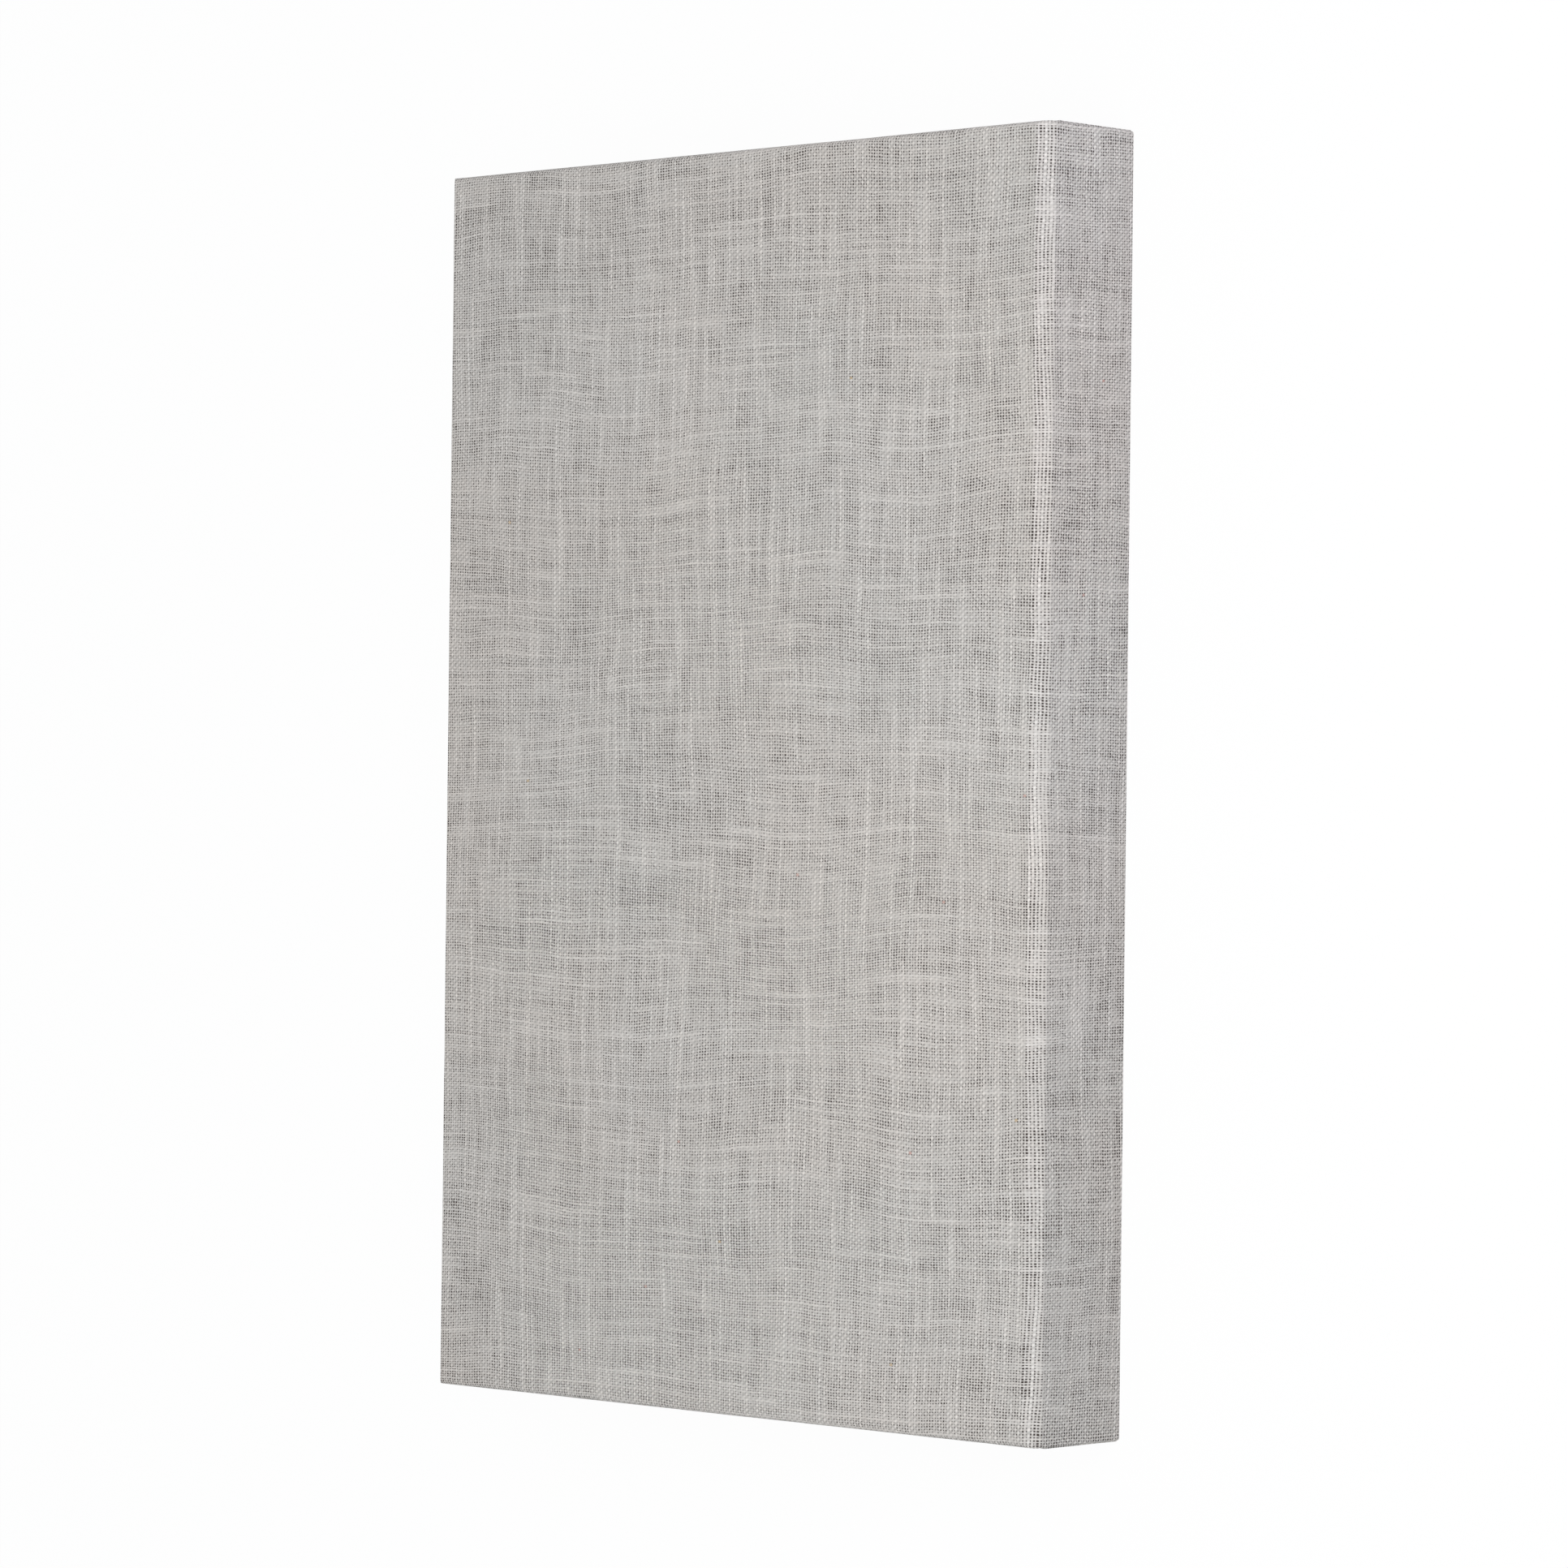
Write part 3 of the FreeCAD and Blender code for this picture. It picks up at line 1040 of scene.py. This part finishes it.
    def _wrap_run(self, column: int, row: int) -> float:
        """Measure the long side's cloth from its middle, and on round the corner.

        Args:
            column: column number of the border vertex above.
            row: its row number.

        Returns:
            The length of cloth, signed along the long side.
        """
        x, y = self.columns[column], self.rows[row]
        if abs(y) <= self.straight[1]:
            return y
        past = (abs(x) - self.straight[0], abs(y) - self.straight[1])
        if past[0] >= 0:
            turn = math.atan2(past[1], past[0])
            return math.copysign(self.straight[1] + self.corner_radius * turn, y)
        round_it = self.corner_radius * math.pi / 2
        return math.copysign(self.straight[1] + round_it - past[0], y)

    def _lay_out(self, region: Region, corner: tuple[int, int], place: Vector,
                 fall: float) -> tuple[float, float]:
        """Place a point of the sides or the back on the flat cloth.

        Args:
            region: the stretch of cloth.
            corner: the border vertex above the point.
            place: the point, in metres.
            fall: length of cloth from the face's border to the point.

        Returns:
            Places across and along the cloth, in metres.
        """
        column, row = corner
        if region is Region.SHORT_SIDE:
            along = self.edges[1].runs[-1] + fall
            return place.x, math.copysign(along * MM, self.rows[row])
        across = self.edges[0].runs[-1] + fall
        return (math.copysign(across * MM, self.columns[column]), self._wrap_run(column, row) * MM)

    def _build_sides(self, work: bmesh.types.BMesh, lay: bmesh.types.BMLayerItem) -> None:
        """Add the sides, the back's rounded edges and the glued strips, ring by ring.

        Args:
            work: the mesh that is being built.
            lay: the layer of the cloth's own coordinates.
        """
        border = self._border()
        above = [self.grid[corner] for corner in border]
        tops = [vertex.co.z / MM for vertex in above]
        falls = [0.0] * len(border)
        for ring in self._rings():
            spots = [ring.under(top, self.back_radius) for top in tops]
            below = [work.verts.new(self._ring_place(corner, ring.inset, height))
                     for corner, (height, _) in zip(border, spots)]
            below_falls = [fall for _, fall in spots]
            for at in range(len(border)):
                after = (at + 1) % len(border)
                around_corner = all(self._on_corner(border[end]) for end in (at, after))
                if ring.inset >= self.mitre_end and around_corner:
                    continue
                region = self._region(border[at], border[after])
                face = work.faces.new([above[at], below[at], below[after], above[after]])
                ends = (at, at, after, after)
                runs = (falls[at], below_falls[at], below_falls[after], falls[after])
                for loop, end, fall in zip(face.loops, ends, runs):
                    loop[lay].uv = self._lay_out(region, border[end], loop.vert.co, fall)
            above, falls = below, below_falls

    def _on_corner(self, corner: tuple[int, int]) -> bool:
        """Tell whether a border vertex lies on the outline's rounded corner, or at its ends."""
        place = (abs(self.columns[corner[0]]), abs(self.rows[corner[1]]))
        return all(part >= flat - self.same_place for part, flat in zip(place, self.straight))

    def _join(self, work: bmesh.types.BMesh) -> None:
        """Merge what meets in the mitred corners and turn every face outwards.

        Args:
            work: the mesh that is being built.
        """
        bmesh.ops.remove_doubles(work, verts=work.verts, dist=self.weld * MM)
        bmesh.ops.dissolve_degenerate(work, edges=work.edges, dist=self.weld * MM)
        loose = [vertex for vertex in work.verts if not vertex.link_faces]
        bmesh.ops.delete(work, geom=loose, context="VERTS")
        bmesh.ops.recalc_face_normals(work, faces=work.faces)
        work.normal_update()

    def _waver(self, work: bmesh.types.BMesh) -> None:
        """Let the cloth's surface waver slightly, as stretched cloth over felt does.

        Args:
            work: the mesh that is being built.
        """
        (broad_width, broad_reach), (fine_width, fine_reach) = self.broad_waver, self.fine_waver
        elsewhere = Vector((9, 4, 2))
        for vertex in work.verts:
            if vertex.co.z < self.waver_floor * MM:
                continue
            broad = broad_reach * noise.noise(vertex.co / (broad_width * MM))
            fine = fine_reach * noise.noise(vertex.co / (fine_width * MM) + elsewhere)
            vertex.co += vertex.normal * (broad + fine) * MM

    def _thicken(self, cloth: bpy.types.Object) -> None:
        """Give the cloth its thickness, inwards, and smooth its shading.

        Args:
            cloth: the cloth's object.
        """
        bpy.ops.object.select_all(action="DESELECT")
        cloth.select_set(True)
        bpy.context.view_layer.objects.active = cloth
        wall = cloth.modifiers.new("cloth_thickness", "SOLIDIFY")
        wall.thickness = self.thickness * MM
        wall.offset = -1.0
        bpy.ops.object.modifier_apply(modifier=wall.name)
        bpy.ops.object.shade_smooth_by_angle(angle=math.radians(self.smooth_angle))

    def flat_size(self) -> tuple[float, float]:
        """Work out the size that the cloth was cut to.

        Returns:
            Its width and length, in metres.
        """
        past_face = self.depth - self.back_radius * (2 - math.pi / 2) + self.strip_width
        sizes = [2 * (edge.runs[-1] - edge.drops[-1] + past_face) for edge in self.edges]
        return sizes[0] * MM, sizes[1] * MM

    def dress(self, cloth: bpy.types.Object) -> None:
        """Give the cloth its finish, attach it to the root body and hide the CAD model's cover.

        Args:
            cloth: the cloth's object.
        """
        first, last = self.edges[0].runs[0], self.edges[0].runs[-1]
        cloth.data.materials.append(self.finish.build((first + last) / 2, last - first))
        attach(cloth, "root")
        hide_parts("fabric_cover")
        self.flat_size()


@dataclass
class CoreBoard:
    """The fibre board, whose own mesh stays and only gets its finish."""

    node: str = "core_board"
    finish: FeltedMineralBoard = field(default_factory=FeltedMineralBoard)

    def dress(self) -> bpy.types.Object:
        """Give the board its finish.

        Returns:
            The board's object.
        """
        board = bpy.data.objects[self.node]
        board.data.materials.clear()
        board.data.materials.append(self.finish.build())
        return board


@dataclass
class Studio:
    """Pale floor, soft light and the camera at the photograph's viewing angle.

    The key lamp is white, and the lamp that lights the long side is faintly violet.
    """

    camera_place: tuple[float, float, float] = (3012.1, -25.2, 3134.2)
    camera_aim: tuple[float, float, float] = (15.3, -0.8, 46.0)
    camera_roll: float = -0.66
    lens: float = 135.9
    sensor: float = 36.0
    camera_reach: float = 100000.0
    floor_size: float = 30000.0
    key_place: tuple[float, float, float] = (1000.0, -50.0, 1300.0)
    key_size: float = 1000.0
    key_power: float = 8.5
    key_colour: str = "ffffff"
    fill_place: tuple[float, float, float] = (1200.0, 900.0, 150.0)
    fill_size: float = 500.0
    fill_power: float = 3.1
    fill_colour: str = "eee4f4"
    world_level: float = 0.66
    floor_colour: str = "c8cacc"
    floor_glow: float = 0.93
    glow_level: float = 1.03
    floor_gap: float = 0.1
    floor_clearance: float = 3.0

    def build(self) -> None:
        """Set up the floor, the light and the camera."""
        self._build_floor()
        self._build_world()
        self._build_lamp("key_softbox", self.key_place, self.key_size, self.key_power,
                         self.key_colour)
        self._build_lamp("side_softbox", self.fill_place, self.fill_size, self.fill_power,
                         self.fill_colour)
        self._build_camera()
        bpy.context.scene.view_settings.view_transform = "Standard"

    def _build_floor(self) -> None:
        """Add the floor, which keeps the panel's shadow and shows white to the camera.

        It is clear from below and over the last millimetres under a thing that lies on it, so
        that the panel's back is lit and shows in a view from below.
        """
        bpy.ops.mesh.primitive_plane_add(size=self.floor_size * MM,
                                         location=(0, 0, -self.floor_gap * MM))
        floor = bpy.context.object
        floor.name = "studio_floor"
        material = bare_material("matt_white_paper_sweep")
        tree = material.node_tree
        paper = add_node(tree, "BsdfDiffuse", {"Color": linear(self.floor_colour)})
        glow = add_node(tree, "Emission", {"Color": (1, 1, 1, 1), "Strength": self.glow_level})
        share = self._seen_directly(tree) * self.floor_glow
        mixed = add_node(tree, "MixShader", {0: share, 1: paper.outputs[0], 2: glow.outputs[0]})
        below = Level(add_node(tree, "NewGeometry").outputs["Backfacing"])
        length = Level(add_node(tree, "LightPath").outputs["Ray Length"])
        clear = below.worked("MAXIMUM", length.worked("LESS_THAN", self.floor_clearance * MM))
        open_air = add_node(tree, "BsdfTransparent")
        surface = add_node(tree, "MixShader", {0: clear, 1: mixed.outputs[0],
                                               2: open_air.outputs[0]})
        add_node(tree, "OutputMaterial", {"Surface": surface.outputs[0]})
        floor.data.materials.append(material)
        floor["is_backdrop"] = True

    def _seen_directly(self, tree: bpy.types.NodeTree) -> Level:
        """Find what is seen directly, or through gloss or glass.

        Args:
            tree: the node tree of the floor or the world.

        Returns:
            A level of 1 for that, and 0 for what only lights the panel.
        """
        path = add_node(tree, "LightPath").outputs
        first = Level(path["Is Camera Ray"]).worked("MAXIMUM", Level(path["Is Glossy Ray"]))
        return first.worked("MAXIMUM", Level(path["Is Transmission Ray"]))

    def _build_world(self) -> None:
        """Add even light from all round, and white behind the floor's end."""
        world = bpy.data.worlds.new("soft_studio")
        bpy.context.scene.world = world
        world.use_nodes = True
        tree = world.node_tree
        tree.nodes.clear()
        strength = self._seen_directly(tree).scaled(1.0 - self.world_level, self.world_level)
        background = add_node(tree, "Background", {"Color": (1, 1, 1, 1), "Strength": strength})
        add_node(tree, "OutputWorld", {"Surface": background.outputs[0]})

    def _build_lamp(self, name: str, place: tuple[float, float, float], size: float,
                    power: float, colour: str) -> None:
        """Add a square soft lamp that points at the panel.

        Args:
            name: the lamp's name.
            place: its middle, in millimetres.
            size: its side, in millimetres.
            power: its power in watts.
            colour: its sRGB hex colour.
        """
        stand = Vector(place) * MM
        turn = (-stand).to_track_quat("-Z", "Y").to_euler()
        bpy.ops.object.light_add(type="AREA", location=stand, rotation=turn)
        lamp = bpy.context.object
        lamp.name = name
        lamp.data.size = size * MM
        lamp.data.energy = power
        lamp.data.color = linear(colour)[:3]

    def _build_camera(self) -> None:
        """Add the camera, a little rolled as in the photograph."""
        place, aim = Vector(self.camera_place) * MM, Vector(self.camera_aim) * MM
        forward = (aim - place).normalized()
        along = Vector((0, 1, 0))
        upright = (along - forward * along.dot(forward)).normalized()
        up = Matrix.Rotation(math.radians(self.camera_roll), 3, forward) @ upright
        right = forward.cross(up)
        turn = Matrix((right, up, -forward)).transposed().to_euler()
        bpy.ops.object.camera_add(location=place, rotation=turn)
        camera = bpy.context.object
        camera.name = "photo_camera"
        camera.data.lens = self.lens
        camera.data.sensor_width = self.sensor
        camera.data.clip_end = self.camera_reach * MM
        bpy.context.scene.camera = camera


def main() -> None:
    """Build and dress the panel, then light it."""
    logging.basicConfig(level=logging.INFO, format="%(message)s")
    low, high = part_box("fabric_cover")
    rise = FabricCover.fold_rise
    cover = FabricCover(width=(high[0] - low[0]) / MM, length=(high[1] - low[1]) / MM - 2 * rise,
                        depth=(high[2] - low[2]) / MM)
    cloth = cover.build()
    cover.dress(cloth)
    LOG.info("%s: %d faces, cut to %.3f x %.3f m", cloth.name, len(cloth.data.polygons),
             *cover.flat_size())
    board = CoreBoard().dress()
    LOG.info("%s: finish %s", board.name, board.active_material.name)
    Studio().build()
    boxes = {"cad": [list(map(float, corner)) for corner in CAD_BOX],
             "visual": [list(map(float, corner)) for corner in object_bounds()]}


if __name__ == "__main__":
    main()
